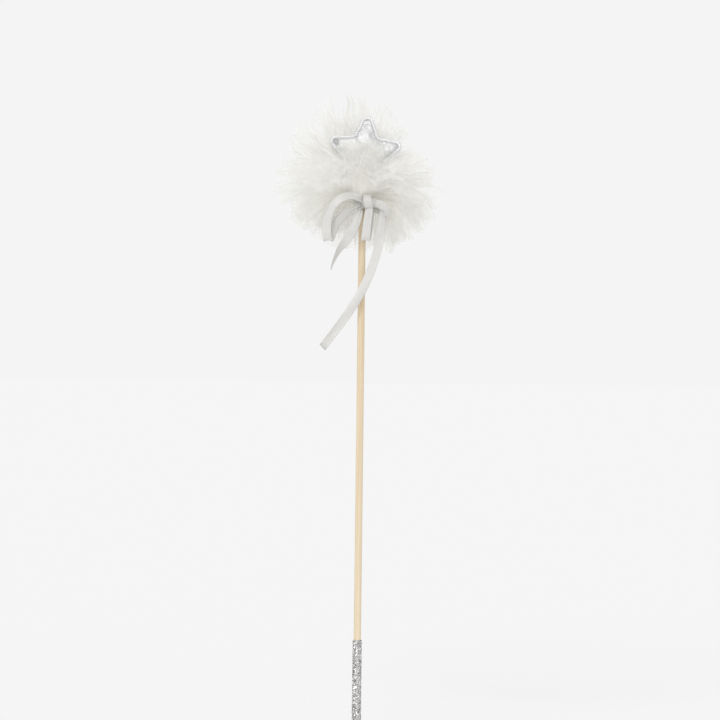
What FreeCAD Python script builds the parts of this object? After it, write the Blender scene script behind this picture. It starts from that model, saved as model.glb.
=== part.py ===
"""Fairy wand: birch stick with a glitter grip, a padded star, a tulle puff and a satin bow.

Millimetres. +Z runs up the stick to the star, +X is to the right and -Y is the front.
The origin is on the stick's axis, half way along the glitter grip.
"""
import FreeCAD
import Part

import math
import os

# Stick and grip
STICK_R = 2.5
STICK_LENGTH = 410.0
STICK_CHAMFER = 0.4
GRIP_LENGTH = 77.5
GRIP_R = 3.13
BUTT_Z = -GRIP_LENGTH / 2
STICK_TOP_Z = BUTT_Z + STICK_LENGTH

# Star
STAR_X = 1.1
STAR_Z = 369.1
STAR_TIP_R = 28.9
STAR_VALLEY_R = 13.2
STAR_TIP_FILLET = 3.0
STAR_VALLEY_FILLET = 4.0
STAR_TILT = -4.5
STAR_HALF_DEPTH = 5.6
STAR_COVER = 0.5
PIPING_R = 1.6
# share of the half depth, and share of the outline's size, from the seam to the crown
STAR_CROWN = [(0.0, 1.0), (0.5, 0.93), (0.85, 0.78), (1.0, 0.55)]
GLUE_R = 3.3
GLUE_LENGTH = 9.0
GLUE_CAP = 1.0

# Tulle: the height at which every panel is tied
TIE_Z = 336.0
TULLE_THICKNESS = 0.15
NECK_R = 2.75
NECK_STEP = 0.25
NECK_BELOW = 2.0
NECK_ABOVE = 1.0
NECK_BEND_CENTRE_R = 6.05
# name, place in the neck's stack, elevation at the neck and at the rim, length, side gap, front or back
UPRIGHT_PANELS = [
    ("tulle_back_1", 0, 71, 84, 75.5, 42, "back"),
    ("tulle_back_2", 1, 66, 50, 73.0, 38, "back"),
    ("tulle_back_3", 2, 62, 22, 68.0, 32, "back"),
    ("tulle_back_4", 3, 50, -6, 60.0, 26, "back"),
    ("tulle_back_5", 4, 36, -14, 58.0, 14, "back"),
    ("tulle_front_1", 0, 72, 50, 42.0, 38, "front"),
    ("tulle_front_2", 2, 64, 16, 50.0, 32, "front"),
    ("tulle_front_3", 3, 54, -20, 56.0, 26, "front"),
]
# the lower panels hang behind and beside the stick, and leave the bow's side open
LOW_PANELS = [
    ("tulle_low_1", 5, 28, -55, 52.0),
    ("tulle_low_2", 6, 16, -67, 48.0),
    ("tulle_low_3", 7, 2, -78, 42.0),
    ("tulle_low_4", 8, -14, -102, 45.0),
]
LOW_PANEL_OVERLAP = 10

# Thread winding round the neck
THREAD_R = 0.25
THREAD_TURNS = 5
THREAD_COIL_R = 5.2
THREAD_PITCH = 0.525
THREAD_START_Z = TIE_Z - 1.5

# Satin ribbon
RIBBON_WIDTH = 6.0
RIBBON_THICKNESS = 0.4
BAND_R = 5.8
BAND_TOP_Z = TIE_Z + 1.5
KNOT_X = (-1.5, 10.5)
KNOT_Y = (-12.6, -4.0)
KNOT_Z = (331.0, 339.5)
KNOT_ROUND = 1.5
LOOP_FRONT_Y = -11.4
LOOP_BEND_R = 2.0
LOOP_LEFT_FROM = (1.0, 336.0)
LOOP_LEFT_TO = (-25.0, 316.0)
LOOP_RIGHT_FROM = (9.0, 335.5)
LOOP_RIGHT_TO = (17.5, 330.5)
LOOP_FRONT_X = 2.5
LOOP_FRONT_END_Z = 311.5
# the bends of a route begin at this share of its shorter neighbouring run
BEND_SHARE = 0.45

# Ribbon tails, each a route of (x, z) points in one upright plane
TAIL_Y = -12.4
TAIL_LONG = [(13.3, 330.5), (12.7, 317.5), (10.6, 303.5), (3.0, 280.5), (-10.2, 257.6), (-25.6, 238.2)]
TAIL_SHORT = [(-1.5, 330.5), (-4.4, 319.0), (-10.6, 309.6), (-16.6, 302.0), (-20.4, 292.0)]

# how far a cutting body runs past what it cuts
OVERRUN = 1.0
AXIS = FreeCAD.Vector(0, 0, 1)
FRONT_AZIMUTH = -90
BACK_AZIMUTH = 90


def save(name, shape):
    shape.exportStep("parts/" + name + ".step")
    solids = len(shape.Solids)
    print(f"{name:18s} solids {solids} volume {shape.Volume:9.2f} mm3 valid {shape.isValid()}")


def cylinder(radius, low_z, high_z):
    return Part.makeCylinder(radius, high_z - low_z, FreeCAD.Vector(0, 0, low_z))


# Strips: a path of runs and tangent arcs in a plane, given an even width

def left_of(heading):
    return (-math.sin(heading), math.cos(heading))


def moved(point, direction, distance):
    return (point[0] + direction[0] * distance, point[1] + direction[1] * distance)


def walk(start, heading_deg, steps):
    """Segments of a path. Each step is a straight run, then a turn in degrees with a radius."""
    segments = []
    point = start
    heading = math.radians(heading_deg)
    for run, turn_deg, radius in steps:
        if run > 0:
            end = moved(point, (math.cos(heading), math.sin(heading)), run)
            segments.append(("run", point, end, heading))
            point = end
        if turn_deg:
            turn = math.radians(turn_deg)
            signed_radius = math.copysign(radius, turn)
            centre = moved(point, left_of(heading), signed_radius)
            segments.append(("arc", centre, signed_radius, heading, turn))
            heading += turn
            point = moved(centre, left_of(heading), -signed_radius)
    return segments


def side_edges(segments, offset, place):
    edges = []
    for segment in segments:
        if segment[0] == "run":
            kind, start, end, heading = segment
            aside = left_of(heading)
            ends = [place(*moved(point, aside, offset)) for point in (start, end)]
            edges.append(Part.LineSegment(*ends).toShape())
        else:
            kind, centre, radius, heading, turn = segment
            headings = (heading, heading + turn / 2, heading + turn)
            points = [place(*moved(centre, left_of(h), offset - radius)) for h in headings]
            edges.append(Part.Arc(*points).toShape())
    return edges


def strip_face(segments, width, place):
    left = side_edges(segments, width / 2, place)
    right = side_edges(segments, -width / 2, place)
    caps = []
    for end in (0, -1):
        vertex = 0 if end == 0 else 1
        a = left[end].Curve.value(left[end].ParameterRange[vertex])
        b = right[end].Curve.value(right[end].ParameterRange[vertex])
        caps.append(Part.LineSegment(a, b).toShape())
    ordered = Part.__sortEdges__(left + caps + right)
    return Part.Face(Part.Wire(ordered))


def route_steps(points):
    """Runs and tangent arcs along a route, as wide as BEND_SHARE of the shorter run allows."""
    spans = [(b[0] - a[0], b[1] - a[1]) for a, b in zip(points, points[1:])]
    lengths = [math.hypot(*span) for span in spans]
    headings = [math.degrees(math.atan2(span[1], span[0])) for span in spans]
    steps = []
    radii = []
    trimmed = 0.0
    for index in range(len(spans) - 1):
        turn = headings[index + 1] - headings[index]
        tangent = BEND_SHARE * min(lengths[index], lengths[index + 1])
        radius = tangent / math.tan(math.radians(abs(turn)) / 2)
        steps.append((lengths[index] - trimmed - tangent, turn, radius))
        radii.append(radius)
        trimmed = tangent
    steps.append((lengths[-1] - trimmed, 0, 0))
    return headings[0], steps, radii


# Stick and grip

def make_stick():
    stick = cylinder(STICK_R, BUTT_Z, STICK_TOP_Z)
    rims = [edge for edge in stick.Edges if isinstance(edge.Curve, Part.Circle)]
    return stick.makeChamfer(STICK_CHAMFER, rims)


def make_grip_wrap():
    sleeve = cylinder(GRIP_R, BUTT_Z, -BUTT_Z)
    return sleeve.cut(cylinder(STICK_R, BUTT_Z - OVERRUN, -BUTT_Z + OVERRUN))


# Star

def star_radii(inset):
    """Radii of the arm's and the valley's corners once every side has moved inwards by inset."""
    valley_x = STAR_VALLEY_R * math.cos(math.radians(36))
    valley_y = STAR_VALLEY_R * math.sin(math.radians(36))
    tip_half = math.atan2(valley_y, STAR_TIP_R - valley_x)
    valley_angle = math.radians(36) + tip_half
    return STAR_TIP_R - inset / math.sin(tip_half), STAR_VALLEY_R - inset / math.sin(valley_angle)


def star_outline(inset, size, y):
    """Closed wire of a five-armed star with rounded arms and valleys, in the plane at y."""
    radii = star_radii(inset)
    fillets = (STAR_TIP_FILLET - inset, STAR_VALLEY_FILLET + inset)
    corners = []
    for index in range(10):
        angle = math.radians(90 + STAR_TILT + 36 * index)
        radius = size * radii[index % 2]
        corners.append((radius * math.cos(angle), radius * math.sin(angle)))
    starts, middles, ends = [], [], []
    for index, corner in enumerate(corners):
        fillet = size * fillets[index % 2]
        before = corners[index - 1]
        after = corners[(index + 1) % 10]
        in_x, in_z = before[0] - corner[0], before[1] - corner[1]
        out_x, out_z = after[0] - corner[0], after[1] - corner[1]
        in_length = math.hypot(in_x, in_z)
        out_length = math.hypot(out_x, out_z)
        half = math.acos((in_x * out_x + in_z * out_z) / (in_length * out_length)) / 2
        tangent = fillet / math.tan(half)
        starts.append(moved(corner, (in_x / in_length, in_z / in_length), tangent))
        ends.append(moved(corner, (out_x / out_length, out_z / out_length), tangent))
        bisector = (in_x / in_length + out_x / out_length, in_z / in_length + out_z / out_length)
        unit = (bisector[0] / math.hypot(*bisector), bisector[1] / math.hypot(*bisector))
        middles.append(moved(corner, unit, fillet / math.sin(half) - fillet))

    def place(point):
        return FreeCAD.Vector(STAR_X + point[0], y, STAR_Z + point[1])

    edges = []
    for index in range(10):
        edges.append(Part.Arc(place(starts[index]), place(middles[index]), place(ends[index])).toShape())
        edges.append(Part.LineSegment(place(ends[index]), place(starts[(index + 1) % 10])).toShape())
    return Part.Wire(edges)


def star_half(inset, side):
    """Half a pillow, from the seam to the crown. side is -1 for the front and 1 for the back."""
    depth = STAR_HALF_DEPTH - inset
    wires = [star_outline(PIPING_R + inset, size, side * share * depth) for share, size in STAR_CROWN]
    return Part.makeLoft(wires, True, True)


def make_star():
    stick_hole = cylinder(STICK_R, TIE_Z, STICK_TOP_Z)
    glue_hole = cylinder(GLUE_R, STICK_TOP_Z - GLUE_LENGTH, STICK_TOP_Z + GLUE_CAP)
    pieces = {}
    for name, side in (("star_front_cover", -1), ("star_back_cover", 1)):
        shell = star_half(0, side).cut(star_half(STAR_COVER, side))
        pieces[name] = shell.cut(stick_hole)
    filling = star_half(STAR_COVER, -1).fuse(star_half(STAR_COVER, 1))
    pieces["star_padding"] = filling.cut(stick_hole).cut(glue_hole)
    glue = glue_hole.cut(stick_hole)
    stick_top = make_stick().common(cylinder(GLUE_R, STICK_TOP_Z - GLUE_LENGTH, STICK_TOP_Z))
    pieces["star_glue"] = glue.cut(stick_top)
    path = star_outline(0, 1, 0)
    start = path.Edges[1].valueAt(path.Edges[1].FirstParameter)
    tangent = path.Edges[1].tangentAt(path.Edges[1].FirstParameter)
    circle = Part.Wire(Part.makeCircle(PIPING_R, start, tangent))
    ring = Part.Wire(path.Edges[1:] + path.Edges[:1]).makePipeShell([circle], True, False, 1)
    pieces["star_piping"] = ring.cut(cylinder(STICK_R, TIE_Z, STICK_TOP_Z))
    return pieces


# Tulle puff

def tulle_panel(stack, elevation_in, elevation_out, length, azimuth_from, azimuth_to):
    """Thin sector of a bowl: up the neck, out over a small bend, then along one wide arc."""
    bend = elevation_in - 90
    sweep = elevation_out - elevation_in
    radius = length / math.radians(abs(sweep))
    neck_r = NECK_R + NECK_STEP * stack
    steps = [(NECK_BELOW + NECK_ABOVE, bend, NECK_BEND_CENTRE_R - neck_r), (0, sweep, radius)]
    segments = walk((neck_r, TIE_Z - NECK_BELOW), 90, steps)
    face = strip_face(segments, TULLE_THICKNESS, lambda r, z: FreeCAD.Vector(r, 0, z))
    panel = face.revolve(FreeCAD.Vector(0, 0, 0), AXIS, azimuth_to - azimuth_from)
    panel.rotate(FreeCAD.Vector(0, 0, 0), AXIS, azimuth_from)
    return panel


def make_tulle():
    panels = {}
    for name, stack, start, end, length, gap, side in UPRIGHT_PANELS:
        middle = BACK_AZIMUTH if side == "back" else FRONT_AZIMUTH
        half = 90 - gap
        panels[name] = tulle_panel(stack, start, end, length, middle - half, middle + half)
    for name, stack, start, end, length in LOW_PANELS:
        half = 90 + LOW_PANEL_OVERLAP
        panels[name] = tulle_panel(stack, start, end, length, BACK_AZIMUTH - half, BACK_AZIMUTH + half)
    return panels


def make_thread():
    turns = []
    for index in range(THREAD_TURNS):
        centre = FreeCAD.Vector(0, 0, THREAD_START_Z + THREAD_PITCH * index)
        turns.append(Part.makeTorus(THREAD_COIL_R, THREAD_R, centre))
    return Part.makeCompound(turns)


# Satin bow

def make_knot():
    size = [high - low for low, high in (KNOT_X, KNOT_Y, KNOT_Z)]
    corner = FreeCAD.Vector(KNOT_X[0], KNOT_Y[0], KNOT_Z[0])
    block = Part.makeBox(*size, corner)
    front = [edge for edge in block.Edges if edge.BoundBox.YMax < KNOT_Y[0] + 0.1]
    rounded = block.makeFillet(KNOT_ROUND, front)
    return rounded.cut(cylinder(BAND_R + RIBBON_THICKNESS, KNOT_Z[0] - OVERRUN, KNOT_Z[1] + OVERRUN))


def make_band():
    band = cylinder(BAND_R + RIBBON_THICKNESS, BAND_TOP_Z - RIBBON_WIDTH, BAND_TOP_Z)
    return band.cut(cylinder(BAND_R, BAND_TOP_Z - RIBBON_WIDTH - OVERRUN, BAND_TOP_Z + OVERRUN))


def hairpin_loop(start, end):
    """Flat loop from one (x, z) point to another: out along the front ply and back behind it."""
    span_x, span_z = end[0] - start[0], end[1] - start[1]
    length = math.hypot(span_x, span_z)
    along = FreeCAD.Vector(span_x / length, 0, span_z / length)
    across = FreeCAD.Vector(-along.z, 0, along.x)
    corner = FreeCAD.Vector(start[0], LOOP_FRONT_Y, start[1]) - across * (RIBBON_WIDTH / 2)
    reach = length - LOOP_BEND_R
    segments = walk((0, 0), 0, [(reach, 180, LOOP_BEND_R), (reach, 0, 0)])
    face = strip_face(segments, RIBBON_THICKNESS, lambda a, b: corner + along * a + FreeCAD.Vector(0, b, 0))
    return face.extrude(across * RIBBON_WIDTH)


def make_bow():
    knot = make_knot()
    loop_front_ends = (LOOP_FRONT_X, KNOT_Z[0]), (LOOP_FRONT_X, LOOP_FRONT_END_Z)
    return {
        "ribbon_band": make_band(),
        "ribbon_knot": knot,
        "ribbon_loop_left": hairpin_loop(LOOP_LEFT_FROM, LOOP_LEFT_TO).cut(knot),
        "ribbon_loop_right": hairpin_loop(LOOP_RIGHT_FROM, LOOP_RIGHT_TO).cut(knot),
        "ribbon_loop_front": hairpin_loop(*loop_front_ends),
    }


def ribbon_tail(name, points):
    """Flat tail hanging in one upright plane, its volume checked against its section and length."""
    heading, steps, radii = route_steps(points)
    segments = walk(points[0], heading, steps)
    back = TAIL_Y + RIBBON_THICKNESS / 2
    face = strip_face(segments, RIBBON_WIDTH, lambda x, z: FreeCAD.Vector(x, back, z))
    tail = face.extrude(FreeCAD.Vector(0, -RIBBON_THICKNESS, 0))
    length = sum(run + math.radians(abs(turn)) * radius for run, turn, radius in steps)
    expected = length * RIBBON_WIDTH * RIBBON_THICKNESS
    rounded = ", ".join(f"{radius:.1f}" for radius in radii)
    print(f"{name}: length {length:.1f} mm, radii {rounded} mm, volume / expected {tail.Volume / expected:.4f}")
    return tail


def main():
    os.makedirs("parts", exist_ok=True)
    pieces = {"stick": make_stick(), "grip_wrap": make_grip_wrap()}
    pieces.update(make_star())
    pieces.update(make_tulle())
    pieces["tulle_thread"] = make_thread()
    pieces.update(make_bow())
    pieces["ribbon_tail_long"] = ribbon_tail("ribbon_tail_long", TAIL_LONG)
    pieces["ribbon_tail_short"] = ribbon_tail("ribbon_tail_short", TAIL_SHORT)
    for name, shape in pieces.items():
        save(name, shape)


main()
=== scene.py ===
import math
import random

import bpy
import numpy as np
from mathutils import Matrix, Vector, noise


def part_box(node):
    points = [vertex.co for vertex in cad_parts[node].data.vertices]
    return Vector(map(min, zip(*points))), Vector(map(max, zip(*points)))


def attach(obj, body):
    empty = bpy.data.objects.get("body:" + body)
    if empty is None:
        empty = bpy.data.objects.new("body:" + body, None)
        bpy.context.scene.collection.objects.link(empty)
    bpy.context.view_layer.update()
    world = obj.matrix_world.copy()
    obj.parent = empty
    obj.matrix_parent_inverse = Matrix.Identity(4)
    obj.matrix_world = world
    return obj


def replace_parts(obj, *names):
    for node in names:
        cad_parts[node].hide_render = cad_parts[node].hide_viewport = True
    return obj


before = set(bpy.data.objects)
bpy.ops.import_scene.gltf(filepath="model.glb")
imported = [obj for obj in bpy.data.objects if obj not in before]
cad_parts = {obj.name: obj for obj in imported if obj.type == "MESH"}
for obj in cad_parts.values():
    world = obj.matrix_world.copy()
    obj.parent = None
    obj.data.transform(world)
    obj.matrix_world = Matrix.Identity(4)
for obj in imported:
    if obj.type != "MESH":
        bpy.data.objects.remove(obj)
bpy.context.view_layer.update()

MM = 0.001
UP = Vector((0, 0, 1))
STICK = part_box("stick")
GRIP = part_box("grip_wrap")
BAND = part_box("ribbon_band")
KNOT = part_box("ribbon_knot")
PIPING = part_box("star_piping")
BUTT_Z = STICK[0][2]
STICK_R = (STICK[1][0] - STICK[0][0]) / 2
GRIP_R = (GRIP[1][0] - GRIP[0][0]) / 2
TIE_Z = BAND[1][2] - 1.5 * MM


# ---------------------------------------------------------------- camera, light and stage

VIEW_HEIGHT = 229.0 * MM
VIEW_DISTANCE = 1.8
VIEW_WIDTH = 0.4896
VIEW_ROLL = math.radians(-0.68)
VIEW_SIDE = -0.4 * MM
BACKGROUND = (0.905, 0.905, 0.905)


def make_camera():
    camera = bpy.data.cameras.new("camera")
    camera.sensor_width = 36.0
    camera.lens = camera.sensor_width * VIEW_DISTANCE / VIEW_WIDTH
    holder = bpy.data.objects.new("camera", camera)
    holder.location = (VIEW_SIDE, -VIEW_DISTANCE, VIEW_HEIGHT)
    holder.rotation_euler = (math.radians(90), VIEW_ROLL, 0)
    bpy.context.scene.collection.objects.link(holder)
    bpy.context.scene.camera = holder


def make_light():
    world = bpy.data.worlds.new("studio")
    world.use_nodes = True
    background = world.node_tree.nodes["Background"]
    background.inputs["Color"].default_value = (*BACKGROUND, 1)
    background.inputs["Strength"].default_value = 1.0
    bpy.context.scene.world = world
    for name, strength, spread, turn in (("key", 1.1, 30, (48, -28, 0)), ("fill", 0.35, 60, (62, 40, 0))):
        light = bpy.data.lights.new(name, "SUN")
        light.energy = strength
        light.angle = math.radians(spread)
        lamp = bpy.data.objects.new(name, light)
        lamp.rotation_euler = [math.radians(angle) for angle in turn]
        bpy.context.scene.collection.objects.link(lamp)
    scene = bpy.context.scene
    scene.view_settings.view_transform = "Standard"
    scene.cycles.transparent_max_bounces = 96
    scene.cycles.diffuse_bounces = 8
    scene.cycles.max_bounces = 16


def make_floor():
    material, tree, shader = new_material("floor")
    shader.inputs["Base Color"].default_value = (0.794, 0.794, 0.794, 1)
    shader.inputs["Roughness"].default_value = 0.9
    shader.inputs["Specular IOR Level"].default_value = 0.0
    size = 30.0
    corners = [(-size, -size, BUTT_Z), (size, -size, BUTT_Z), (size, size, BUTT_Z), (-size, size, BUTT_Z)]
    new_object("floor", corners, [(0, 1, 2, 3)], material)


# ---------------------------------------------------------------- meshes

def new_object(name, vertices, faces, material, uvs=None):
    """A smooth-shaded mesh object. uvs holds one (u, v) in metres for each vertex."""
    mesh = bpy.data.meshes.new(name)
    mesh.from_pydata([tuple(v) for v in vertices], [], [tuple(f) for f in faces])
    mesh.polygons.foreach_set("use_smooth", [True] * len(mesh.polygons))
    if uvs is not None:
        layer = mesh.uv_layers.new(name="UVMap")
        corners = np.empty(len(mesh.loops), np.int32)
        mesh.loops.foreach_get("vertex_index", corners)
        layer.data.foreach_set("uv", np.asarray(uvs, float)[corners].astype(np.float32).ravel())
    mesh.materials.append(material)
    mesh.update()
    piece = bpy.data.objects.new(name, mesh)
    bpy.context.scene.collection.objects.link(piece)
    return piece


def grid_faces(rows, columns, wrap=False, first=0):
    """Quads of a grid whose vertices run row by row. wrap joins the last column to the first."""
    last = columns if wrap else columns - 1
    faces = []
    for row in range(rows - 1):
        for column in range(last):
            a = first + row * columns + column
            b = first + row * columns + (column + 1) % columns
            faces.append((a, b, b + columns, a + columns))
    return faces


def settle(piece, body, slot, *nodes):
    """The piece rides on its body and stands for its CAD nodes; slot is not used."""
    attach(piece, body)
    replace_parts(piece, *nodes)
    return piece


def apply_modifiers(piece):
    graph = bpy.context.evaluated_depsgraph_get()
    mesh = bpy.data.meshes.new_from_object(piece.evaluated_get(graph))
    piece.modifiers.clear()
    piece.data = mesh
    return piece


def thicken(piece, thickness, offset=0.0):
    solid = piece.modifiers.new("thickness", "SOLIDIFY")
    solid.thickness = thickness
    solid.offset = offset
    return apply_modifiers(piece)


def wander(count, knots, seed, closed=False):
    """Smooth random values from -1 to 1 along a line, with that many knots."""
    rng = np.random.default_rng(seed)
    values = rng.uniform(-1, 1, knots)
    if closed:
        values = np.append(values, values[0])
    places = np.linspace(0, len(values) - 1, count)
    low = np.clip(np.floor(places).astype(int), 0, len(values) - 2)
    part = places - low
    part = part * part * (3 - 2 * part)
    return values[low] * (1 - part) + values[low + 1] * part


# ---------------------------------------------------------------- materials

def new_material(name):
    material = bpy.data.materials.new(name)
    material.use_nodes = True
    tree = material.node_tree
    return material, tree, tree.nodes["Principled BSDF"]


def add(tree, kind, inputs=None, **settings):
    """A node. Each input is a number, a colour or the socket that feeds it."""
    made = tree.nodes.new(kind)
    for name, value in settings.items():
        setattr(made, name, value)
    for key, value in (inputs or {}).items():
        if isinstance(value, bpy.types.NodeSocket):
            tree.links.new(value, made.inputs[key])
        else:
            made.inputs[key].default_value = value
    return made


def calc(tree, operation, a, b=0.0, c=0.0, clamp=False):
    return add(tree, "ShaderNodeMath", {0: a, 1: b, 2: c}, operation=operation, use_clamp=clamp).outputs[0]


def vector_calc(tree, operation, a, b=(0, 0, 0), out=0):
    return add(tree, "ShaderNodeVectorMath", {0: a, 1: b}, operation=operation).outputs[out]


def scaled(tree, source, scale):
    return add(tree, "ShaderNodeMapping", {"Vector": source, "Scale": scale}).outputs[0]


def ramp(tree, factor, stops):
    made = add(tree, "ShaderNodeValToRGB", {"Fac": factor})
    elements = made.color_ramp.elements
    while len(elements) < len(stops):
        elements.new(0.5)
    for element, (place, colour) in zip(elements, stops):
        element.position = place
        element.color = (*colour, 1)
    return made.outputs[0]


def bump(tree, shader, height, strength, distance, normal=None):
    inputs = {"Height": height, "Strength": strength, "Distance": distance}
    if normal is not None:
        inputs["Normal"] = normal
    made = add(tree, "ShaderNodeBump", inputs)
    tree.links.new(made.outputs[0], shader.inputs["Normal"])
    return made.outputs[0]


def birch_material():
    """Straight, pale, close grain with fine pores along the stick, and rings on its sawn end."""
    material, tree, shader = new_material("birch")
    place = add(tree, "ShaderNodeTexCoord").outputs["Object"]
    grain = add(tree, "ShaderNodeTexNoise", {"Vector": scaled(tree, place, (900, 900, 14)), "Scale": 1.0,
                                             "Detail": 6.0, "Roughness": 0.62}).outputs["Fac"]
    broad = add(tree, "ShaderNodeTexNoise", {"Vector": scaled(tree, place, (160, 160, 5)), "Scale": 1.0,
                                             "Detail": 3.0}).outputs["Fac"]
    pores = add(tree, "ShaderNodeTexNoise", {"Vector": scaled(tree, place, (3200, 3200, 170)), "Scale": 1.0,
                                             "Detail": 2.0}).outputs["Fac"]
    pore_mask = calc(tree, "SMOOTH_MIN", calc(tree, "MULTIPLY_ADD", pores, 9.0, -2.9, clamp=True), 1.0, 0.1)
    tone = calc(tree, "ADD", calc(tree, "MULTIPLY", grain, 0.6), calc(tree, "MULTIPLY", broad, 0.4))
    along = ramp(tree, tone, [(0.30, (0.584, 0.456, 0.296)), (0.47, (0.664, 0.549, 0.389)),
                              (0.56, (0.699, 0.589, 0.429)), (0.72, (0.735, 0.637, 0.487))])
    rings = add(tree, "ShaderNodeTexWave", {"Vector": place, "Scale": 420.0, "Distortion": 2.5, "Detail": 2.0,
                                            "Detail Scale": 2.0}, wave_type="RINGS",
                rings_direction="Z").outputs["Fac"]
    across = ramp(tree, rings, [(0.2, (0.460, 0.354, 0.230)), (0.8, (0.602, 0.487, 0.336))])
    normal = add(tree, "ShaderNodeNewGeometry").outputs["Normal"]
    facing = calc(tree, "ABSOLUTE", add(tree, "ShaderNodeSeparateXYZ", {0: normal}).outputs[2])
    is_end = calc(tree, "GREATER_THAN", facing, 0.6)
    wood = add(tree, "ShaderNodeMix", {0: is_end, 6: along, 7: across}, data_type="RGBA").outputs[2]
    shaded = add(tree, "ShaderNodeMix", {0: calc(tree, "MULTIPLY_ADD", pore_mask, -0.16, 0.16), 6: wood,
                                         7: (0.42, 0.30, 0.18, 1)}, data_type="RGBA").outputs[2]
    tree.links.new(shaded, shader.inputs["Base Color"])
    rough = calc(tree, "MULTIPLY_ADD", grain, 0.16, 0.50)
    tree.links.new(rough, shader.inputs["Roughness"])
    shader.inputs["Specular IOR Level"].default_value = 0.35
    bump(tree, shader, calc(tree, "ADD", grain, calc(tree, "MULTIPLY", pore_mask, 0.5)), 0.35, 0.05 * MM)
    return material


def hex_net(tree, point, cell, thread):
    """1 on the threads of a six-sided net, 0 in its holes. cell and thread are sizes in metres."""
    root = math.sqrt(3)
    p = vector_calc(tree, "MULTIPLY", point, (1 / cell, 1 / cell, 0))
    period, half = (1, root, 1), (0.5, root / 2, 0)

    def wrapped(source):
        return vector_calc(tree, "SUBTRACT", vector_calc(tree, "MODULO", source, period), half)

    far = vector_calc(tree, "ADD", p, (1000, 1000 * root, 0))
    a = wrapped(far)
    b = wrapped(vector_calc(tree, "ADD", far, half))
    nearer = calc(tree, "LESS_THAN", vector_calc(tree, "LENGTH", a, out=1), vector_calc(tree, "LENGTH", b, out=1))
    g = vector_calc(tree, "ABSOLUTE", add(tree, "ShaderNodeMix", {0: nearer, 4: b, 5: a},
                                          data_type="VECTOR").outputs[1])
    side = vector_calc(tree, "DOT_PRODUCT", g, (0.5, root / 2, 0), out=1)
    edge = calc(tree, "MAXIMUM", side, add(tree, "ShaderNodeSeparateXYZ", {0: g}).outputs[0])
    width = thread / cell
    return calc(tree, "MULTIPLY_ADD", edge, 3.0 / width, 1.0 - (0.5 - width / 2) * 3.0 / width, clamp=True)


def tulle_material():
    """Six-sided netting: white threads round open holes, closer together where the cloth is gathered, and painted
    light that makes the net whiter near the neck against the shade of the gather.
    """
    material, tree, shader = new_material("tulle")
    uv = add(tree, "ShaderNodeTexCoord").outputs["UV"]
    warp = add(tree, "ShaderNodeTexNoise", {"Vector": uv, "Scale": 160.0, "Detail": 1.0}).outputs["Color"]
    bent = vector_calc(tree, "ADD", uv, vector_calc(tree, "MULTIPLY", warp, (0.0012, 0.0012, 0)))
    net = hex_net(tree, bent, 1.25 * MM, 0.13 * MM)
    haze = calc(tree, "MULTIPLY_ADD", net, 0.40, 0.075)
    crowd = add(tree, "ShaderNodeAttribute", attribute_name="crowding").outputs["Fac"]
    open_share = calc(tree, "POWER", calc(tree, "SUBTRACT", 1.0, haze), crowd)
    cover = calc(tree, "SUBTRACT", 1.0, open_share, clamp=True)
    mottle = add(tree, "ShaderNodeTexNoise", {"Vector": uv, "Scale": 60.0, "Detail": 3.0}).outputs["Fac"]
    single = ramp(tree, mottle, [(0.3, (0.86, 0.855, 0.825)), (0.7, (0.90, 0.895, 0.87))])
    # painted light: the net's colour goes whiter towards the neck, offsetting the shade deep in the gather
    neck_painted_light = add(tree, "ShaderNodeAttribute", attribute_name="neck_painted_light").outputs["Fac"]
    white = add(tree, "ShaderNodeMix", {0: neck_painted_light, 6: single, 7: (0.985, 0.98, 0.955, 1)},
                data_type="RGBA").outputs[2]
    tree.links.new(white, shader.inputs["Base Color"])
    shader.inputs["Roughness"].default_value = 0.55
    shader.inputs["Specular IOR Level"].default_value = 0.3
    through = add(tree, "ShaderNodeBsdfTranslucent", {"Color": white}).outputs[0]
    cloth = add(tree, "ShaderNodeMixShader", {0: 0.48, 1: shader.outputs[0], 2: through}).outputs[0]
    clear = add(tree, "ShaderNodeBsdfTransparent").outputs[0]
    mix = add(tree, "ShaderNodeMixShader", {0: cover, 1: clear, 2: cloth}).outputs[0]
    tree.links.new(mix, tree.nodes["Material Output"].inputs["Surface"])
    return material


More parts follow.
